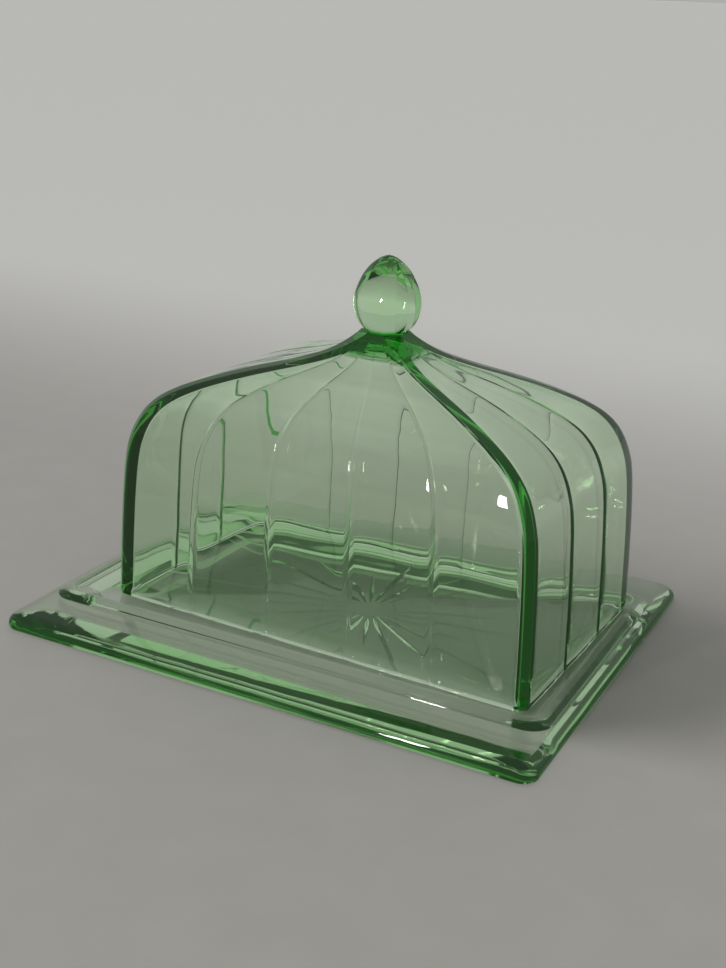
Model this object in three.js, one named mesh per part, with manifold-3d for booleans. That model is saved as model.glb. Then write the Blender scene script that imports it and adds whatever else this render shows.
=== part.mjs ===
// Uranium glass covered dish: a stepped rectangular plate and the loose domed lid that stands on it.
// Millimetres, +Z up. The origin is the centre of the plate's underside, and +X runs along its long side.
import * as THREE from "three";
import { mergeVertices } from "three/addons/utils/BufferGeometryUtils.js";
import Module from "manifold-3d";

// Plate: half sizes of its widest outline, which lies just above the table.
const PLATE_HALF_X = 95;
const PLATE_HALF_Y = 74.4;
const PLATE_CORNER = 5.3;
const WING_TOP_Z = 5.6;
const WING_EDGE_INSET = 3.8;
const RIM_TOP_Z = 7.8;
const RIM_FOOT_HALF_Y = 54.9;
const RIM_CORNER = 8;
const WELL_FLOOR_Z = 6.4;
const WELL_HALF_X = 85.6;
const WELL_HALF_Y = 50.2;

// Underside: a shallow panel inside the foot, with the pressed star, whose hub sits a little off centre.
const PANEL_HALF_X = 80;
const PANEL_HALF_Y = 46.5;
const PANEL_DEPTH = 0.9;
const STAR_RAYS = 24;
const STAR_HUB = 5;
const STAR_MARGIN = 3;
const STAR_SHORT = 0.62;
const RAY_WIDTH = 1.3;
const RAY_DEPTH = 1;
const STAR_SHIFT = [8, -2];

// Lid: outer half sizes at its foot, and the square neck that the roof rises to.
const LID_HALF_X = 76.5;
const LID_HALF_Y = 46;
const NECK_HALF = 8;
const LID_WALL = 4.9;
const CAVITY_HEIGHT = 88;
const CORNER_CUT = 2.1;
const NECK_CUT = 4.6;
const INNER_CUT = 0.6;
const PANEL_BULGE = 0.6;
const LONG_PANELS = 5;
const SHORT_PANELS = 3;
const PANEL_STEPS = 4;

// How the lid stands on the plate: pushed towards +X, a little turned, a hair above the well's floor.
const LID_SHIFT = [6.7, 0.8];
const LID_TURN_DEG = -1.9;
const LID_GAP = 0.3;

// Roof line from foot to neck: how far out it is from the neck (1 is the foot's outline), and its height.
const ROOF_LINE = [
  [1, 0],
  [0.996, 10],
  [0.99, 22],
  [0.98, 36],
  [0.965, 49],
  [0.943, 57],
  [0.9, 64.2],
  [0.84, 69.5],
  [0.76, 73.4],
  [0.66, 76.6],
  [0.55, 79.4],
  [0.43, 82],
  [0.31, 84.3],
  [0.2, 86.7],
  [0.12, 88.9],
  [0.065, 91.2],
  [0.022, 93.7],
  [-0.008, 96],
];

// Bud knob: radius and height above the lid's foot.
const KNOB_LINE = [
  [0, 94],
  [6.9, 94],
  [7.1, 95.9],
  [7.9, 96.4],
  [8.9, 97.7],
  [9.8, 99.3],
  [10.6, 101.6],
  [11.1, 105],
  [10.8, 107.5],
  [10.1, 109.8],
  [9.1, 112.2],
  [7.7, 114.7],
  [5.7, 117.2],
  [3.1, 119.3],
  [0, 120.4],
];
const KNOB_SEGMENTS = 32;

const wasm = await Module();
wasm.setup();

function toSolid(geometry) {
  const bare = geometry.clone();
  bare.deleteAttribute("normal");
  bare.deleteAttribute("uv");
  const merged = mergeVertices(bare, 1e-4);
  return new wasm.Manifold(
    new wasm.Mesh({
      numProp: 3,
      vertProperties: new Float32Array(merged.attributes.position.array),
      triVerts: new Uint32Array(merged.index.array),
    }),
  );
}

function toGeometry(solid) {
  const mesh = solid.getMesh();
  const geometry = new THREE.BufferGeometry();
  geometry.setAttribute("position", new THREE.BufferAttribute(mesh.vertProperties, 3));
  geometry.setIndex(new THREE.BufferAttribute(mesh.triVerts, 1));
  geometry.computeVertexNormals();
  return geometry;
}

// One closed skin over a stack of rings that have the same number of points, closed with a fan at each end.
function loft(rings) {
  const count = rings[0].length;
  const points = rings.flat();
  const faces = [];
  for (let level = 0; level + 1 < rings.length; level++) {
    for (let i = 0; i < count; i++) {
      const a = level * count + i;
      const b = level * count + ((i + 1) % count);
      faces.push(a, b, b + count, a, b + count, a + count);
    }
  }
  const last = (rings.length - 1) * count;
  const start = points.push([0, 0, rings[0][0][2]]) - 1;
  const end = points.push([0, 0, rings[rings.length - 1][0][2]]) - 1;
  for (let i = 0; i < count; i++) {
    const next = (i + 1) % count;
    faces.push(start, next, i);
    faces.push(end, last + i, last + next);
  }
  const geometry = new THREE.BufferGeometry();
  geometry.setAttribute("position", new THREE.Float32BufferAttribute(points.flat(), 3));
  geometry.setIndex(faces);
  return geometry;
}

function roundedRing(halfX, halfY, radius, z) {
  const centres = [[1, 1], [-1, 1], [-1, -1], [1, -1]];
  return centres.flatMap(([sideX, sideY], corner) => {
    const x = sideX * (halfX - radius);
    const y = sideY * (halfY - radius);
    const from = (corner * Math.PI) / 2;
    const arc = new THREE.EllipseCurve(x, y, radius, radius, from, from + Math.PI / 2);
    return arc.getPoints(6).map((p) => [p.x, p.y, z]);
  });
}

function insetRing(halfX, halfY, radius, inset, z) {
  return roundedRing(halfX - inset, halfY - inset, Math.max(radius - inset / 2, 1), z);
}

// Rounded outer edge, flat wing on each long side, then the low rim that runs out to the short sides.
function plateRings() {
  const outer = (inset, z) => insetRing(PLATE_HALF_X, PLATE_HALF_Y, PLATE_CORNER, inset, z);
  const rim = (inset, z) =>
    insetRing(PLATE_HALF_X - WING_EDGE_INSET - 0.2, RIM_FOOT_HALF_Y, RIM_CORNER, inset, z);
  return [
    roundedRing(PANEL_HALF_X - 0.8, PANEL_HALF_Y - 0.8, 5, PANEL_DEPTH),
    roundedRing(PANEL_HALF_X, PANEL_HALF_Y, 5.5, 0),
    outer(0.8, 0),
    outer(0, 1),
    outer(0.1, 2.4),
    outer(0.8, 3.8),
    outer(2, 4.9),
    outer(WING_EDGE_INSET, WING_TOP_Z),
    rim(0, WING_TOP_Z),
    rim(0.8, 6.6),
    rim(2, 7.35),
    rim(3.4, 7.75),
    rim(4, RIM_TOP_Z),
    roundedRing(WELL_HALF_X + 0.5, WELL_HALF_Y + 0.4, 7, 7.3),
    roundedRing(WELL_HALF_X, WELL_HALF_Y, 7, WELL_FLOOR_Z),
  ];
}

// One ray of the star: a V-groove cut up into the underside panel.
function starRay(index) {
  const angle = (2 * Math.PI * (index + 0.5)) / STAR_RAYS;
  const cos = Math.cos(angle);
  const sin = Math.sin(angle);
  const roomX = (PANEL_HALF_X - STAR_MARGIN - Math.sign(cos) * STAR_SHIFT[0]) / Math.abs(cos);
  const roomY = (PANEL_HALF_Y - STAR_MARGIN - Math.sign(sin) * STAR_SHIFT[1]) / Math.abs(sin);
  const reach = Math.min(roomX, roomY) * (index % 2 ? STAR_SHORT : 1);
  const profile = new THREE.Shape();
  profile.moveTo(-RAY_WIDTH / 2, -0.1);
  profile.lineTo(RAY_WIDTH / 2, -0.1);
  profile.lineTo(0, RAY_DEPTH);
  profile.closePath();
  const ray = new THREE.ExtrudeGeometry(profile, { depth: reach - STAR_HUB, bevelEnabled: false });
  ray.translate(0, 0, STAR_HUB);
  ray.rotateX(Math.PI / 2);
  ray.rotateZ(angle + Math.PI / 2);
  ray.translate(STAR_SHIFT[0], STAR_SHIFT[1], PANEL_DEPTH);
  return ray;
}

function plateGeometry() {
  let plate = toSolid(loft(plateRings()));
  for (let i = 0; i < STAR_RAYS; i++) {
    plate = plate.subtract(toSolid(starRay(i)));
  }
  return toGeometry(plate);
}

// Points along one face of the lid, from its first corner to just short of its last, each panel a low cushion.
function facePoints(halfWidth, panels, bulge) {
  const steps = panels * PANEL_STEPS;
  const points = [];
  for (let i = 0; i <= steps; i++) {
    const across = -halfWidth + (2 * halfWidth * i) / steps;
    const rise = bulge * Math.abs(Math.sin((Math.PI * i) / PANEL_STEPS));
    points.push([across, rise]);
  }
  return points;
}

// Section of the lid: a rectangle with cut corners and cushioned panels between the creases.
function lidRing(halfX, halfY, cut, bulge, z) {
  const long = facePoints(halfX - cut, LONG_PANELS, bulge);
  const short = facePoints(halfY - cut, SHORT_PANELS, bulge);
  return [
    ...long.map(([s, out]) => [s, -halfY - out, z]),
    ...short.map(([s, out]) => [halfX + out, s, z]),
    ...long.map(([s, out]) => [-s, halfY + out, z]),
    ...short.map(([s, out]) => [-halfX - out, -s, z]),
  ];
}

function roofSize(spread) {
  return {
    x: NECK_HALF + (LID_HALF_X - NECK_HALF) * spread,
    y: NECK_HALF + (LID_HALF_Y - NECK_HALF) * spread,
  };
}

function cornerCut(spread) {
  const near = THREE.MathUtils.clamp(1 - spread / 0.15, 0, 1);
  return CORNER_CUT + (NECK_CUT - CORNER_CUT) * near * near;
}

function outerLidRings() {
  return ROOF_LINE.map(([spread, z]) => {
    const half = roofSize(spread);
    const bulge = PANEL_BULGE * THREE.MathUtils.clamp(spread / 0.3, 0, 1);
    return lidRing(half.x, half.y, cornerCut(spread), bulge, z);
  });
}

// The cavity follows the roof line one wall thickness inside it, and closes flat under the neck.
function innerLidRings() {
  const rings = [];
  ROOF_LINE.forEach(([spread, z], i) => {
    const before = ROOF_LINE[Math.max(i - 1, 0)];
    const after = ROOF_LINE[Math.min(i + 1, ROOF_LINE.length - 1)];
    const run = ((before[0] - after[0]) * (LID_HALF_X + LID_HALF_Y - 2 * NECK_HALF)) / 2;
    const rise = after[1] - before[1];
    const inward = (LID_WALL * rise) / Math.hypot(run, rise);
    const down = (LID_WALL * run) / Math.hypot(run, rise);
    const height = i === 0 ? 0 : z - down;
    const half = roofSize(spread);
    if (height < CAVITY_HEIGHT - 1.5 && half.x - inward > 5) {
      rings.push(lidRing(half.x - inward, half.y - inward, INNER_CUT, 0, height));
    }
  });
  rings.push(lidRing(5, 5, 1.5, 0, CAVITY_HEIGHT));
  return rings;
}

function lidGeometry() {
  const shell = toSolid(loft([...innerLidRings().reverse(), ...outerLidRings()]));
  const profile = KNOB_LINE.map(([radius, height]) => new THREE.Vector2(radius, height));
  const knob = new THREE.LatheGeometry(profile, KNOB_SEGMENTS);
  knob.rotateX(Math.PI / 2);
  return toGeometry(shell.add(toSolid(knob)));
}

function glass(name, color) {
  return new THREE.MeshStandardMaterial({
    name,
    color,
    roughness: 0.06,
    metalness: 0,
    transparent: true,
    opacity: 0.55,
  });
}

const dish = new THREE.Group();
dish.name = "uranium_glass_dish";

const plate = new THREE.Mesh(plateGeometry(), glass("plate_glass", new THREE.Color(0.3, 0.56, 0.27)));
plate.name = "plate";
dish.add(plate);

const lid = new THREE.Mesh(lidGeometry(), glass("lid_glass", new THREE.Color(0.36, 0.6, 0.33)));
lid.name = "lid";
lid.position.set(LID_SHIFT[0], LID_SHIFT[1], WELL_FLOOR_Z + LID_GAP);
lid.rotation.z = THREE.MathUtils.degToRad(LID_TURN_DEG);
dish.add(lid);

export default dish;
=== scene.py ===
"""Looks for the green glass covered dish: a stepped plate and the domed lid that stands loose on it.

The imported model's frame is in metres. The shapes here are worked out in millimetres, and MM turns them
into metres where a mesh is made. A ring is one level of a shape: a closed loop of points.
"""

import math

import bmesh
import bpy
from mathutils import Matrix, Vector


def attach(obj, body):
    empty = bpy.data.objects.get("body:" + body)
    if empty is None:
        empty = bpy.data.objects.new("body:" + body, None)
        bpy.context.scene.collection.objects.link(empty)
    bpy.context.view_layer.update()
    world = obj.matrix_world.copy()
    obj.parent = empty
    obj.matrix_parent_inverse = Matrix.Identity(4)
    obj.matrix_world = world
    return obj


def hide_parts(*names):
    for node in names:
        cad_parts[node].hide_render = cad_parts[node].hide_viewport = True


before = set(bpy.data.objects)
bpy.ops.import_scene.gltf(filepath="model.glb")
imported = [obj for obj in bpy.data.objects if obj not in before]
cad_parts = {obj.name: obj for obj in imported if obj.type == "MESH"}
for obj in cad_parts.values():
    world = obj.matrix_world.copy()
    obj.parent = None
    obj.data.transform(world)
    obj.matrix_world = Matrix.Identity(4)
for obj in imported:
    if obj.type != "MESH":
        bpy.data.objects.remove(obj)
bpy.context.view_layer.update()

MM = 0.001
MERGE_DISTANCE = 1e-7
PROFILE_STEPS = 4

# Plate, the size of its CAD node. Half sizes are along X and Y.
PLATE_HALF = (95.0, 74.4)
PLATE_CORNER = 5.3
WING_TOP = 5.6
WING_INSET = 3.8
RIM_FOOT = (91.0, 54.9)
RIM_CORNER = 8.0
RIM_TOP = 7.8
RIM_TOP_INSET = 4.0
WELL_FLOOR = 6.4
CORNER_STEPS = 12
SMALLEST_CORNER = 1.0

# Plate profiles as (inset, height): the rounded outer edge, the rim from its foot up, and down into the well.
EDGE_LINE = [(0.8, 0.0), (0.25, 0.3), (0.0, 1.0), (0.1, 2.4), (0.8, 3.8), (2.0, 4.9), (WING_INSET, WING_TOP)]
RIM_LINE = [(0.0, WING_TOP), (0.3, 6.15), (0.8, 6.6), (2.0, 7.35), (3.4, 7.75), (RIM_TOP_INSET, RIM_TOP)]
WELL_LINE = [(RIM_TOP_INSET, RIM_TOP), (4.5, 7.72), (4.95, 7.3), (5.3, 6.75), (5.9, WELL_FLOOR)]

# Underside panel, its softened edge as (inset, corner radius, height), and the star pressed into it.
PANEL_HALF = (80.0, 46.5)
PANEL_DEPTH = 0.9
PANEL_EDGE = [(0.8, 5, PANEL_DEPTH), (0.6, 5.1, PANEL_DEPTH - 0.15), (0.15, 5.4, 0.1), (-0.15, 5.6, 0)]
STAR_RAYS = 24
STAR_SHIFT = (8.0, -2.0)
STAR_HUB = 5.0
STAR_MARGIN = 3.0
STAR_SHORT = 0.62
RAY_WIDTH = 1.7
RAY_DEPTH = 1.2
RAY_OVERCUT = 0.2
RAY_TIP_WIDTH = 0.3
RAY_TIP_DEPTH = 0.15
RAY_INNER_TAPER = 6
RAY_OUTER_TAPER = 12

# Lid, the size of its CAD node, and how it stands on the plate.
LID_HALF = (76.5, 46.0)
NECK_HALF = 8.0
LID_WALL = 4.9
CORNER_CUT = 2.1
NECK_CUT = 4.6
NECK_CUT_REACH = 0.15
INNER_CUT = 0.5
INNER_SOFTEN = 0.2
PANEL_BULGE = 0.6
PANEL_CROWN = 0.3
BULGE_REACH = 0.3
LONG_PANELS = 5
SHORT_PANELS = 3
PANEL_STEPS = 12
CORNER_POINTS = 3
OUTER_SOFTEN = 0.5
SOFTEN_MOST = 0.4
SHORTEST_SIDE = 1e-6
FOOT_SOFTEN = 0.6
FOOT_RISE = 0.18
LID_SHIFT = (6.7, 0.8)
LID_TURN = math.radians(-1.9)
LID_GAP = 0.3

# The lid's roof line from foot to neck: how far out it is from the neck, where 1 is the foot's outline,
# and its height.
ROOF_LINE = [
    (1.0, 0.6),
    (0.996, 10),
    (0.99, 22),
    (0.98, 36),
    (0.965, 49),
    (0.943, 57),
    (0.9, 64.2),
    (0.84, 69.5),
    (0.76, 73.4),
    (0.66, 76.6),
    (0.55, 79.4),
    (0.43, 82),
    (0.31, 84.3),
    (0.2, 86.7),
    (0.12, 88.9),
    (0.065, 91.2),
    (0.022, 93.7),
    (-0.008, 95.9),
]

# The cavity follows the roof line while it is wider and lower than these, then closes on
# two small rings, each (half size, corner cut, softening, height), and a point.
CAVITY_HALF_LEAST = 5.2
CAVITY_ROOF = 86.6
CAVITY_CAP = [(4.6, 1.3, 0.4, 87.7), (3.2, 1.0, 0.3, 88.1)]
CAVITY_TIP = 88.2

# Bud knob: radius and height above the lid's foot. It is faintly eight-sided.
KNOB_LINE = [
    (7.1, 96.05),
    (7.5, 96.3),
    (8.0, 96.7),
    (8.9, 97.7),
    (9.8, 99.3),
    (10.6, 101.6),
    (11.05, 104.6),
    (10.8, 107.5),
    (10.1, 109.8),
    (9.1, 112.2),
    (7.7, 114.7),
    (5.7, 117.2),
    (3.1, 119.3),
    (1.1, 120.15),
]
KNOB_TIP = 120.4
KNOB_SIDES = 8
KNOB_FACET = 0.6

# Painted shade and glow, from 0 to 1: a darker green and a green glow that stand in for light held and
# carried inside the glass, fully on the lid's cut corners and neck, partly on the plate's rounded edge and in
# the star's grooves.
EDGE_PAINTED_LIGHT = 0.5
EDGE_PAINT_INSET = 1.6
EDGE_PAINT_FADE = 1.2
EDGE_PAINT_RISE = 1.5
RAY_PAINTED_LIGHT = 0.3
NECK_PAINT_FROM = 88.5
NECK_PAINT_RISE = 3
NECK_PAINT_TO = 97.6
NECK_PAINT_FALL = 1.2

# Glass.
GLASS_IOR = 1.52
GLASS_ROUGHNESS = 0.02
ABSORB = (0.24, 0.92, 0.09)
CLEAR_TINT = (1, 1, 1, 1)
# Painted shade: the darker green base colour where the glass is marked for painted light.
PAINTED_SHADE_TINT = (0.02, 0.30, 0.02, 1)
# A faint painted glow on all the glass, standing in for light carried inside it and for its faint
# fluorescence.
GLOW = 0.035
GLOW_RED = 0.06
GLOW_BLUE = 0.05
# Painted glow, stronger and green, where the glass is marked for painted light.
PAINTED_GLOW_COLOR = (0.0, 0.9, 0.0, 1)

# Table top: its two near tones, and the paler one that it turns to between two places on Y, in metres.
TABLE_DARK = (0.37, 0.36, 0.345, 1)
TABLE_LIGHT = (0.41, 0.40, 0.385, 1)
TABLE_FAR = (0.66, 0.66, 0.645, 1)
TABLE_FAR_FROM = 0.08
TABLE_FAR_TO = 0.45
TABLE_GRAIN = 60
TABLE_ROUGHNESS = 0.6
TABLE_HALF = 60.0
TABLE_DROP = 0.0002

# Camera and lights, in metres.
CAMERA_PLACE = (0.1964, -0.3877, 0.2080)
CAMERA_RIGHT = (0.88580, 0.46244, 0.03883)
CAMERA_FORWARD = (-0.42236, 0.83803, -0.34542)
CAMERA_SENSOR = 36
CAMERA_LENS = 50.58
CAMERA_NEAR = 0.01
SKY_COLOR = (0.80, 0.80, 0.78, 1)
SKY_STRENGTH = 0.52


def smooth_line(points):
    """Catmull-Rom points through a list of pairs."""
    line = []
    last = len(points) - 1
    for i in range(last):
        p0, p1, p2, p3 = (points[min(max(i + k, 0), last)] for k in (-1, 0, 1, 2))
        for s in range(PROFILE_STEPS):
            t = s / PROFILE_STEPS
            line.append(tuple(spline(a, b, c, d, t) for a, b, c, d in zip(p0, p1, p2, p3)))
    line.append(tuple(points[last]))
    return line


def spline(a, b, c, d, t):
    """Catmull-Rom value between b and c."""
    slope = (c - a) * t
    square = (2 * a - 5 * b + 4 * c - d) * t * t
    cube = (3 * b - a - 3 * c + d) * t ** 3
    return 0.5 * (2 * b + slope + square + cube)


def clamp(value, low=0.0, high=1.0):
    return max(low, min(high, value))


def link_mesh(name, points, faces):
    """A new object in the scene over points in metres."""
    mesh = bpy.data.meshes.new(name)
    mesh.from_pydata(points, [], faces)
    obj = bpy.data.objects.new(name, mesh)
    bpy.context.scene.collection.objects.link(obj)
    return obj


def ring_object(name, rings, start, end):
    """A closed object over a stack of rings. Its ends close as fans on the points start and end."""
    count = len(rings[0])
    points = [p for ring in rings for p in ring] + [start, end]
    faces = []
    for level in range(len(rings) - 1):
        for i in range(count):
            a, b = level * count + i, level * count + (i + 1) % count
            faces.append((a, b, b + count, a + count))
    last = (len(rings) - 1) * count
    for i in range(count):
        j = (i + 1) % count
        faces.append((len(points) - 2, j, i))
        faces.append((len(points) - 1, last + i, last + j))
    return link_mesh(name, [tuple(c * MM for c in p) for p in points], faces)


def set_painted_light(obj, values):
    """Marks at each point how strongly shade and glow are painted onto the glass by its material."""
    attribute = obj.data.attributes.new("depth", "FLOAT", "POINT")
    attribute.data.foreach_set("value", values)


def shade(obj, crease_degrees):
    """Turns the faces out, and shades them smooth except at edges that turn by crease_degrees or more."""
    bm = bmesh.new()
    bm.from_mesh(obj.data)
    bmesh.ops.remove_doubles(bm, verts=bm.verts, dist=MERGE_DISTANCE)
    bmesh.ops.recalc_face_normals(bm, faces=bm.faces)
    for face in bm.faces:
        face.smooth = True
    for edge in bm.edges:
        edge.smooth = edge.calc_face_angle(0) < math.radians(crease_degrees)
    bm.to_mesh(obj.data)
    bm.free()


# ---- plate ----

def rounded_ring(half, radius, z):
    """A rectangle with round corners, from its half sizes."""
    ring = []
    for corner, (sx, sy) in enumerate(((1, 1), (-1, 1), (-1, -1), (1, -1))):
        for i in range(CORNER_STEPS + 1):
            angle = (corner + i / CORNER_STEPS) * math.pi / 2
            x = sx * (half[0] - radius) + radius * math.cos(angle)
            y = sy * (half[1] - radius) + radius * math.sin(angle)
            ring.append((x, y, z))
    return ring


def inset_rings(half, radius, profile):
    """One ring for each (inset, height) of a profile, with tighter corners further in."""
    return [
        rounded_ring((half[0] - inset, half[1] - inset), max(radius - inset / 2, SMALLEST_CORNER), z)
        for inset, z in profile
    ]


def plate_rings():
    """The plate's skin from the middle of its underside, round its edge, to the middle of the well."""
    rings = [
        rounded_ring((PANEL_HALF[0] - inset, PANEL_HALF[1] - inset), corner, z)
        for inset, corner, z in PANEL_EDGE
    ]
    rings += inset_rings(PLATE_HALF, PLATE_CORNER, smooth_line(EDGE_LINE))
    rings += inset_rings(RIM_FOOT, RIM_CORNER, smooth_line(RIM_LINE))
    rings += inset_rings(RIM_FOOT, RIM_CORNER, smooth_line(WELL_LINE)[1:])
    return rings


def ray_reach(index, along):
    """How far from the hub a ray runs: to the panel's margin, and every second one less far."""
    room = [
        (PANEL_HALF[k] - STAR_MARGIN - math.copysign(1, along[k]) * STAR_SHIFT[k]) / abs(along[k])
        for k in (0, 1)
    ]
    return min(room) * (STAR_SHORT if index % 2 else 1)


def star_rays():
    """The star's V-grooves, as thin prisms that taper out at both ends."""
    points, faces = [], []
    hub = Vector((*STAR_SHIFT, 0))
    for index in range(STAR_RAYS):
        angle = 2 * math.pi * (index + 0.5) / STAR_RAYS
        across = Vector((-math.sin(angle), math.cos(angle), 0))
        along = Vector((math.cos(angle), math.sin(angle), 0))
        reach = ray_reach(index, along)
        sections = (
            (STAR_HUB, RAY_TIP_WIDTH, RAY_TIP_DEPTH),
            (STAR_HUB + RAY_INNER_TAPER, 1, 1),
            (reach - RAY_OUTER_TAPER, 1, 1),
            (reach, RAY_TIP_WIDTH, RAY_TIP_DEPTH),
        )
        base = len(points)
        for r, width, depth in sections:
            for side, height in ((-0.5, -RAY_OVERCUT), (0.5, -RAY_OVERCUT), (0, RAY_DEPTH * depth)):
                p = hub + along * r + across * (side * RAY_WIDTH * width)
                points.append((p.x * MM, p.y * MM, (PANEL_DEPTH + height) * MM))
        for k in range(len(sections) - 1):
            a = base + 3 * k
            faces += [(a, a + 1, a + 4, a + 3), (a + 1, a + 2, a + 5, a + 4), (a + 2, a, a + 3, a + 5)]
        faces += [(base, base + 2, base + 1), (base + 9, base + 10, base + 11)]
    rays = link_mesh("star_rays", points, faces)
    # Painted shade and glow along the bottom of each groove.
    set_painted_light(rays, [0, 0, RAY_PAINTED_LIGHT] * (len(points) // 3))
    shade(rays, crease_degrees=10)
    return rays


def carve(obj, cutter):
    """Cuts cutter out of obj for good, and removes cutter."""
    cut = obj.modifiers.new("cut", "BOOLEAN")
    cut.operation = "DIFFERENCE"
    cut.solver = "EXACT"
    cut.object = cutter
    bpy.context.view_layer.update()
    depsgraph = bpy.context.evaluated_depsgraph_get()
    carved = bpy.data.meshes.new_from_object(obj.evaluated_get(depsgraph))
    obj.modifiers.clear()
    obj.data = carved
    bpy.data.objects.remove(cutter)


def edge_painted_light(x, z):
    """How strongly shade and glow are painted on a plate ring, from its reach along X and its height: only on
    the outer edge.
    """
    outwards = clamp((x - PLATE_HALF[0] + EDGE_PAINT_INSET) / EDGE_PAINT_FADE)
    return EDGE_PAINTED_LIGHT * outwards * clamp(z / EDGE_PAINT_RISE)


def make_plate():
    rings = plate_rings()
    plate = ring_object("plate_glass_body", rings, (0, 0, PANEL_DEPTH), (0, 0, WELL_FLOOR))
    # Painted shade and glow on the plate's outer edge, one value for each point.
    depth = []
    for ring in rings:
        x, _, z = ring[0]
        depth += [edge_painted_light(x, z)] * len(ring)
    set_painted_light(plate, depth + [0, 0])
    shade(plate, crease_degrees=40)
    carve(plate, star_rays())
    shade(plate, crease_degrees=28)
    return plate


# ---- lid ----

def face_points(half_width, panels, bulge):
    """Points across one face: cushioned panels that dip sharply into the crease between two of them."""
    width = 2 * half_width / panels
    points = []
    for i in range(panels * PANEL_STEPS + 1):
        panel, step = divmod(i, PANEL_STEPS)
        along = (1 - math.cos(math.pi * step / PANEL_STEPS)) / 2
        rise = bulge * math.sin(math.pi * along) ** PANEL_CROWN
        points.append((-half_width + width * (panel + along), rise))
    return points


def soft_corner(before, corner, after, soften):
    """A corner eased by soften along both of its sides: CORNER_POINTS points on a quadratic curve."""
    a, p, b = Vector(before), Vector(corner), Vector(after)
    near_a = p + (a - p) * min(SOFTEN_MOST, soften / max((a - p).length, SHORTEST_SIDE))
    near_b = p + (b - p) * min(SOFTEN_MOST, soften / max((b - p).length, SHORTEST_SIDE))
    return [tuple(near_a), tuple(p * 0.5 + (near_a + near_b) * 0.25), tuple(near_b)]


def lid_ring(half_x, half_y, cut, bulge, z, soften=OUTER_SOFTEN):
    """Section of the lid: cushioned panels, and cut corners whose two edges are softened."""
    long = face_points(half_x - cut, LONG_PANELS, bulge)
    short = face_points(half_y - cut, SHORT_PANELS, bulge)
    sides = [
        [(s, -half_y - out) for s, out in long],
        [(half_x + out, s) for s, out in short],
        [(-s, half_y + out) for s, out in long],
        [(-half_x - out, -s) for s, out in short],
    ]
    ring = []
    for k, side in enumerate(sides):
        before, after = sides[k - 1][-1], sides[(k + 1) % 4][0]
        ring += soft_corner(before, side[0], side[1], soften)
        ring += side[1:-1]
        ring += soft_corner(side[-2], side[-1], after, soften)
    return [(x, y, z) for x, y in ring]


def roof_half(spread):
    """Half sizes of the roof at one point of its line."""
    return [NECK_HALF + (side - NECK_HALF) * spread for side in LID_HALF]


def corner_cut(spread):
    """The cut corners widen as the roof meets the neck."""
    return CORNER_CUT + (NECK_CUT - CORNER_CUT) * clamp(1 - spread / NECK_CUT_REACH) ** 2


def outer_rings(roof):
    rings = []
    for spread, z in roof:
        half_x, half_y = roof_half(spread)
        bulge = PANEL_BULGE * clamp(spread / BULGE_REACH)
        rings.append(lid_ring(half_x, half_y, corner_cut(spread), bulge, z))
    return rings


def inner_rings(roof):
    """The cavity from its foot up, one wall inside the roof line."""
    rings = []
    for i in range(1, len(roof) - 1):
        (w0, z0), (w1, z1) = roof[i - 1], roof[i + 1]
        run = (w0 - w1) * (sum(LID_HALF) - 2 * NECK_HALF) / 2
        length = math.hypot(run, z1 - z0)
        inward, down = LID_WALL * (z1 - z0) / length, LID_WALL * run / length
        half_x, half_y = roof_half(roof[i][0])
        z = roof[i][1] - down
        if z < CAVITY_ROOF and half_y - inward > CAVITY_HALF_LEAST:
            z = max(z, FOOT_SOFTEN)
            rings.append(lid_ring(half_x - inward, half_y - inward, INNER_CUT, 0, z, INNER_SOFTEN))
    for half, cut, soften, z in CAVITY_CAP:
        rings.append(lid_ring(half, half, cut, 0, z, soften))
    return rings


def foot_rings():
    """The ground foot of the wall, with softened edges, from inside out."""
    half_x, half_y = LID_HALF
    inside = LID_WALL - FOOT_SOFTEN
    return [
        lid_ring(half_x - inside, half_y - inside, INNER_CUT, 0, 0, INNER_SOFTEN),
        lid_ring(half_x - FOOT_SOFTEN, half_y - FOOT_SOFTEN, CORNER_CUT, PANEL_BULGE, 0),
        lid_ring(half_x - FOOT_RISE, half_y - FOOT_RISE, CORNER_CUT, PANEL_BULGE, FOOT_RISE),
    ]


def knob_rings(neck):
    """Rings from the neck's cut square, whose directions they keep, up the bud."""
    half_side = math.pi / KNOB_SIDES
    rings = []
    for radius, z in smooth_line(KNOB_LINE):
        rings.append([])
        for x, y, _ in neck:
            angle = math.atan2(y, x)
            off_facet = (angle + half_side) % (2 * half_side) - half_side
            facet = math.cos(half_side) / math.cos(off_facet)
            r = radius * (1 - KNOB_FACET + KNOB_FACET * facet)
            rings[-1].append((r * math.cos(angle), r * math.sin(angle), z))
    return rings


def hip_share():
    """For each point of a lid ring, 1 on the cut corners and 0 on the panels."""
    share = []
    for panels in (LONG_PANELS, SHORT_PANELS, LONG_PANELS, SHORT_PANELS):
        corner = [1] * CORNER_POINTS
        share += corner + [0] * (panels * PANEL_STEPS - 1) + corner
    return share


def neck_painted_light(z):
    """How strongly shade and glow are painted on the lid at one height: fully on the neck, fading below and
    above it.
    """
    return clamp((z - NECK_PAINT_FROM) / NECK_PAINT_RISE) * clamp((NECK_PAINT_TO - z) / NECK_PAINT_FALL)


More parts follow.
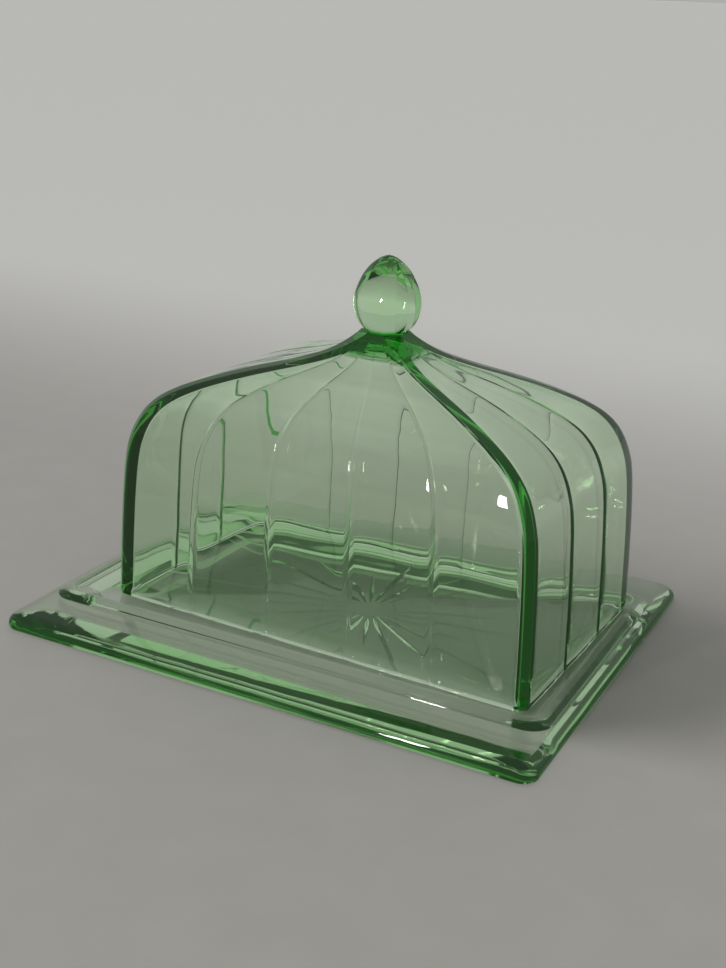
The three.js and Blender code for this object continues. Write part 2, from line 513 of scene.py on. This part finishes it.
def make_lid():
    roof = smooth_line(ROOF_LINE)
    inner, foot, outer = inner_rings(roof), foot_rings(), outer_rings(roof)
    rings = inner[::-1] + foot + outer + knob_rings(outer[-1])
    lid = ring_object("lid_glass_body", rings, (0, 0, CAVITY_TIP), (0, 0, KNOB_TIP))
    outside = len(inner) + 1
    knob = len(inner) + len(foot) + len(outer)
    # Painted shade and glow on the cut corners and the neck, one value for each point.
    hips = hip_share()
    depth = []
    for level, ring in enumerate(rings):
        neck = neck_painted_light(ring[0][2]) if level >= outside else 0
        share = hips if outside <= level < knob else [0] * len(ring)
        depth += [max(neck, hip) for hip in share]
    set_painted_light(lid, depth + [0, 0])
    place = Matrix.Translation((LID_SHIFT[0] * MM, LID_SHIFT[1] * MM, (WELL_FLOOR + LID_GAP) * MM))
    lid.data.transform(place @ Matrix.Rotation(LID_TURN, 4, "Z"))
    shade(lid, crease_degrees=24)
    return lid


# ---- materials ----

def new_material(name):
    material = bpy.data.materials.new(name)
    material.use_nodes = True
    nodes = material.node_tree.nodes
    return material, nodes, material.node_tree.links, nodes["Principled BSDF"]


def mix_towards(nodes, links, factor, high):
    """A Mix node that goes to the colour high with factor. Its A input is set where it is used."""
    mix = nodes.new("ShaderNodeMix")
    mix.data_type = "RGBA"
    mix.inputs["B"].default_value = high
    links.new(factor, mix.inputs["Factor"])
    return mix


def glass_material(name, density, glow, ripple_mm, ripple_depth_mm):
    """Pressed green glass with slow ripples, greener the longer the way through it, with a faint painted glow
    for light carried inside it and for its fluorescence.

    Where the mesh marks painted light, a darker green painted shade and a stronger painted glow are laid on.
    """
    material, nodes, links, glass = new_material(name)
    glass.inputs["Roughness"].default_value = GLASS_ROUGHNESS
    glass.inputs["IOR"].default_value = GLASS_IOR
    glass.inputs["Transmission Weight"].default_value = 1.0
    glass.inputs["Emission Strength"].default_value = GLOW
    material.cycles.emission_sampling = "NONE"

    # The mesh's mark for painted light: where shade and glow are painted onto the glass.
    painted_light_mask = nodes.new("ShaderNodeAttribute")
    painted_light_mask.attribute_name = "depth"
    base_and_painted_shade = mix_towards(nodes, links, painted_light_mask.outputs["Fac"], PAINTED_SHADE_TINT)
    base_and_painted_shade.inputs["A"].default_value = CLEAR_TINT
    links.new(base_and_painted_shade.outputs["Result"], glass.inputs["Base Color"])
    shine = mix_towards(nodes, links, painted_light_mask.outputs["Fac"], PAINTED_GLOW_COLOR)
    shine.inputs["A"].default_value = (GLOW_RED * glow, glow, GLOW_BLUE * glow, 1)
    links.new(shine.outputs["Result"], glass.inputs["Emission Color"])

    body = nodes.new("ShaderNodeVolumeAbsorption")
    body.inputs["Color"].default_value = (*ABSORB, 1)
    body.inputs["Density"].default_value = density
    links.new(body.outputs[0], nodes["Material Output"].inputs["Volume"])

    place = nodes.new("ShaderNodeTexCoord")
    ripple = nodes.new("ShaderNodeTexNoise")
    ripple.inputs["Scale"].default_value = 1 / (ripple_mm * MM)
    ripple.inputs["Detail"].default_value = 1.0
    links.new(place.outputs["Object"], ripple.inputs["Vector"])
    bump = nodes.new("ShaderNodeBump")
    bump.inputs["Strength"].default_value = 1.0
    bump.inputs["Distance"].default_value = ripple_depth_mm * MM
    links.new(ripple.outputs["Fac"], bump.inputs["Height"])
    links.new(bump.outputs["Normal"], glass.inputs["Normal"])
    return material


def table_material():
    """A matte table top with a faint mottle, paler behind the dish."""
    material, nodes, links, surface = new_material("matte_table")
    place = nodes.new("ShaderNodeTexCoord")
    grain = nodes.new("ShaderNodeTexNoise")
    grain.inputs["Scale"].default_value = TABLE_GRAIN
    grain.inputs["Detail"].default_value = 6
    links.new(place.outputs["Object"], grain.inputs["Vector"])
    tone = nodes.new("ShaderNodeValToRGB")
    tone.color_ramp.elements[0].color = TABLE_DARK
    tone.color_ramp.elements[1].color = TABLE_LIGHT
    links.new(grain.outputs["Fac"], tone.inputs["Fac"])

    split = nodes.new("ShaderNodeSeparateXYZ")
    links.new(place.outputs["Object"], split.inputs["Vector"])
    behind = nodes.new("ShaderNodeMapRange")
    behind.interpolation_type = "SMOOTHSTEP"
    behind.inputs["From Min"].default_value = TABLE_FAR_FROM
    behind.inputs["From Max"].default_value = TABLE_FAR_TO
    links.new(split.outputs["Y"], behind.inputs["Value"])
    color = mix_towards(nodes, links, behind.outputs["Result"], TABLE_FAR)
    links.new(tone.outputs["Color"], color.inputs["A"])
    links.new(color.outputs["Result"], surface.inputs["Base Color"])
    surface.inputs["Roughness"].default_value = TABLE_ROUGHNESS
    return material


# ---- stage ----

def make_table():
    side = TABLE_HALF
    corners = [(-side, -side, 0), (side, -side, 0), (side, side, 0), (-side, side, 0)]
    table = link_mesh("table_top", corners, [(0, 1, 2, 3)])
    table.data.materials.append(table_material())
    table.location.z = -TABLE_DROP


def make_camera():
    data = bpy.data.cameras.new("camera")
    data.sensor_width = CAMERA_SENSOR
    data.lens = CAMERA_LENS
    data.clip_start = CAMERA_NEAR
    camera = bpy.data.objects.new("camera", data)
    forward, right = Vector(CAMERA_FORWARD), Vector(CAMERA_RIGHT)
    turn = Matrix((right, right.cross(forward), -forward)).transposed().to_4x4()
    camera.matrix_world = Matrix.Translation(CAMERA_PLACE) @ turn
    bpy.context.scene.collection.objects.link(camera)
    bpy.context.scene.camera = camera


def add_light(name, kind, power, color, turn):
    data = bpy.data.lights.new(name, kind)
    data.energy = power
    data.color = color
    light = bpy.data.objects.new(name, data)
    light.rotation_euler = turn.to_euler()
    bpy.context.scene.collection.objects.link(light)
    return light


def make_daylight():
    """Broad soft daylight from the left, which lights the table evenly and shows no disc in the glass."""
    from_left = Vector((-1.2, -0.5, 0.95)).to_track_quat("Z", "Y")
    daylight = add_light("daylight", "SUN", 1.8, (1.0, 0.99, 0.97), from_left)
    daylight.data.angle = math.radians(35)
    daylight.visible_glossy = False
    daylight.visible_transmission = False


def make_sparkle():
    """A narrow bright strip in front, whose small reflections sit on the lid's front face."""
    place, target = Vector((-0.30, -1.08, 0.31)), Vector((0, 0, 0.06))
    sparkle = add_light("sparkle", "AREA", 1.6, (1.0, 0.98, 0.94), (target - place).to_track_quat("-Z", "Y"))
    sparkle.location = place
    sparkle.data.shape = "RECTANGLE"
    sparkle.data.size, sparkle.data.size_y = 0.05, 0.2


def make_world():
    world = bpy.data.worlds.new("room")
    world.use_nodes = True
    sky = world.node_tree.nodes["Background"]
    sky.inputs["Color"].default_value = SKY_COLOR
    sky.inputs["Strength"].default_value = SKY_STRENGTH
    bpy.context.scene.world = world


plate = make_plate()
plate.data.materials.clear()
plate.data.materials.append(
    glass_material("plate_green_glass", density=17, glow=0.10, ripple_mm=22, ripple_depth_mm=0.12)
)
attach(plate, "plate")
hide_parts("plate")
# Clear glass hardly darkens what it stands on, so the table under the plate stays lit.
plate.visible_shadow = False

lid = make_lid()
lid.data.materials.append(
    glass_material("lid_green_glass", density=26, glow=0.08, ripple_mm=26, ripple_depth_mm=0.25)
)
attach(lid, "lid")
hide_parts("lid")

make_table()
make_world()
make_camera()
make_daylight()
make_sparkle()
bpy.context.scene.view_settings.view_transform = "Standard"
